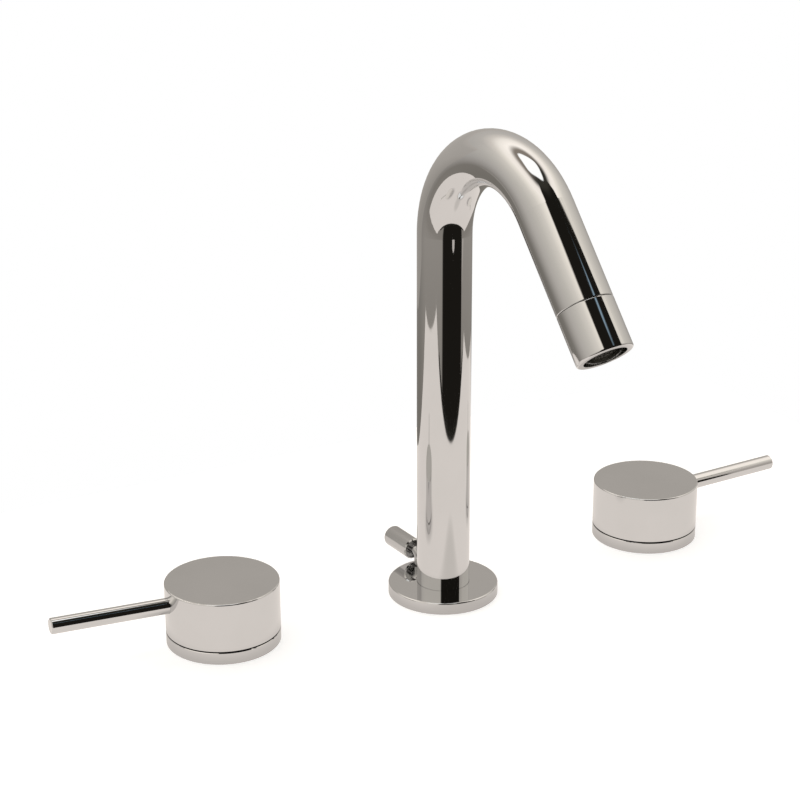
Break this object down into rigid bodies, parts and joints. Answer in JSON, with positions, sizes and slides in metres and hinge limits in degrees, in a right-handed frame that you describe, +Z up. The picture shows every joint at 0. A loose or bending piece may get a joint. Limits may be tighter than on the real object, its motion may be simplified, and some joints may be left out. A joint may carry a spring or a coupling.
{
  "type": "widespread bathroom faucet",
  "caption": "Deck-mounted basin faucet in separate units: a bent tube spout with a pop-up lift rod, and hot and cold quarter-turn valves under round lever handles.",
  "frame": {"origin": "the spout's axis on top of the deck, where the shank enters its hole", "axes": "+Z up, -Y towards the user, -X to the hot valve at the user's left and +X to the cold one"},
  "size_m": [0.4007, 0.1733, 0.4051],
  "materials": {
    "chrome": "polished",
    "brass": "machined",
    "steel": "stamped",
    "rubber": "moulded",
    "ceramic": "lapped ceramic",
    "grey_plastic": "moulded",
    "black_plastic": "moulded"
  },
  "bodies": {
    "fixed_parts": {"spout_tube": "chrome", "aerator_housing": "chrome", "aerator_insert": "grey_plastic", "aerator_seal": "rubber", "spout_shank": "brass", "shank_o_rings": "rubber", "spout_plate": "chrome", "spout_gasket": "rubber", "lift_rod_bush": "black_plastic", "spout_rubber_washer": "rubber", "spout_steel_washer": "steel", "spout_nut": "brass", "union_nut": "brass", "tee_seal": "rubber", "spout_tee": "brass", "hot_fixed_disc": "ceramic", "hot_cartridge_housing": "brass", "hot_cartridge_seal": "rubber", "hot_glide_ring": "black_plastic", "hot_base_ring": "chrome", "hot_base_gasket": "rubber", "hot_valve_body": "brass", "hot_rubber_washer": "rubber", "hot_steel_washer": "steel", "hot_valve_nut": "brass", "cold_fixed_disc": "ceramic", "cold_cartridge_housing": "brass", "cold_cartridge_seal": "rubber", "cold_glide_ring": "black_plastic", "cold_base_ring": "chrome", "cold_base_gasket": "rubber", "cold_valve_body": "brass", "cold_rubber_washer": "rubber", "cold_steel_washer": "steel", "cold_valve_nut": "brass"},
    "hot_handle": {"hot_handle_cap": "chrome", "hot_lever_rod": "chrome", "hot_set_screw": "steel", "hot_cartridge_stem": "brass", "hot_stem_o_rings": "rubber", "hot_moving_disc": "ceramic"},
    "cold_handle": {"cold_handle_cap": "chrome", "cold_lever_rod": "chrome", "cold_set_screw": "steel", "cold_cartridge_stem": "brass", "cold_stem_o_rings": "rubber", "cold_moving_disc": "ceramic"},
    "lift_rod_and_knob": {"lift_rod": "chrome", "lift_knob": "chrome"}
  },
  "joints": [
    {"name": "hot_handle_turn", "type": "hinge", "parent": "fixed_parts", "child": "hot_handle", "pos_m": [-0.1135, 0.0074, 0.02], "axis": [0, 0, 1], "range_deg": [0, 90]},
    {"name": "cold_handle_turn", "type": "hinge", "parent": "fixed_parts", "child": "cold_handle", "pos_m": [0.1253, 0.0074, 0.02], "axis": [0, 0, 1], "range_deg": [-90, 0]},
    {"name": "lift_rod_slide", "type": "slide", "parent": "fixed_parts", "child": "lift_rod_and_knob", "axis": [0, 0, 1], "range_m": [0, 0.025]}
  ]
}
